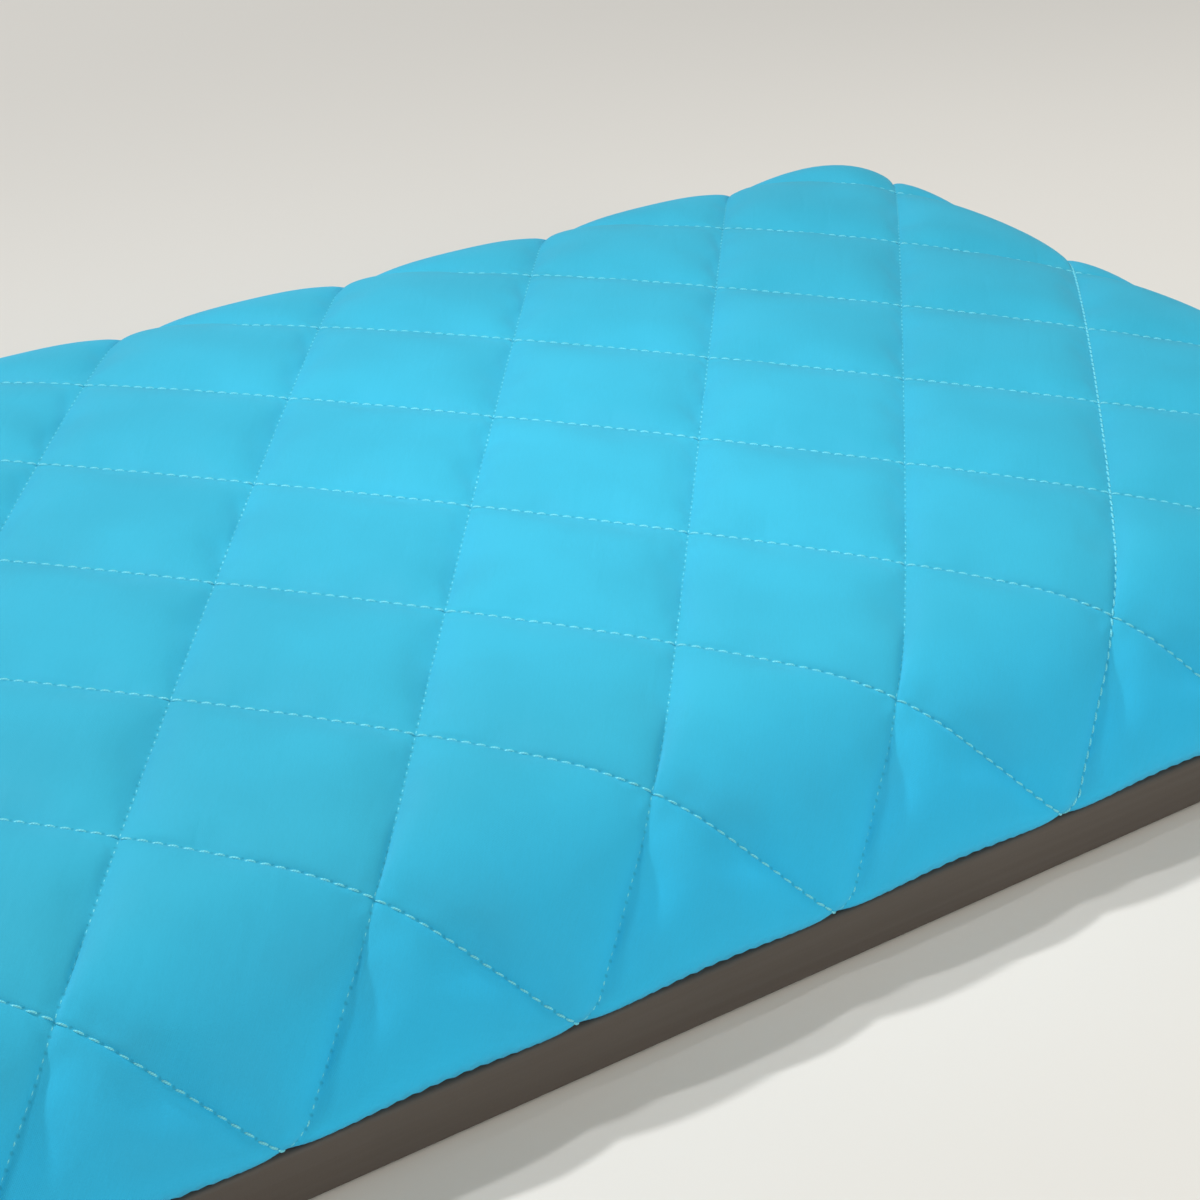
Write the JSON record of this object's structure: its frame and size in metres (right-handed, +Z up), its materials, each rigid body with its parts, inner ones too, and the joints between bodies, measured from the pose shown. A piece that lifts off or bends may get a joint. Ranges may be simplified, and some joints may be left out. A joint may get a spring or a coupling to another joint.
{
  "type": "kneeling pad",
  "caption": "Oblong kneeling pad: a foam cushion in a diamond-quilted cover, stapled to a board and screwed to a straight-edged base plate on rubber feet.",
  "frame": {"origin": "middle of the pad's outline, on the surface that the feet stand on", "axes": "+X along the pad's length, +Y across its width, +Z up"},
  "size_m": [0.512, 0.276, 0.056],
  "materials": {
    "quilt_face": "smooth close-woven microfibre, quilted",
    "wadding": "lofted polyester wadding",
    "lining": "thin nonwoven lining",
    "soft_foam": "open-cell foam",
    "firm_foam": "closed-cell foam",
    "plywood": "sanded, unvarnished",
    "zinc_steel": "zinc plated",
    "base_plate": "matt, finely grained moulding",
    "feet": "matt rubber"
  },
  "bodies": {
    "root": {"quilt_face": "quilt_face", "quilt_wadding": "wadding", "quilt_lining": "lining", "soft_foam": "soft_foam", "firm_foam": "firm_foam", "backing_board": "plywood", "staples": "zinc_steel", "t_nuts": "zinc_steel", "base_plate": "base_plate", "base_screws": "zinc_steel", "foot_left_front": "feet", "foot_left_back": "feet", "foot_middle_front": "feet", "foot_middle_back": "feet", "foot_right_front": "feet", "foot_right_back": "feet"}
  },
  "joints": []
}
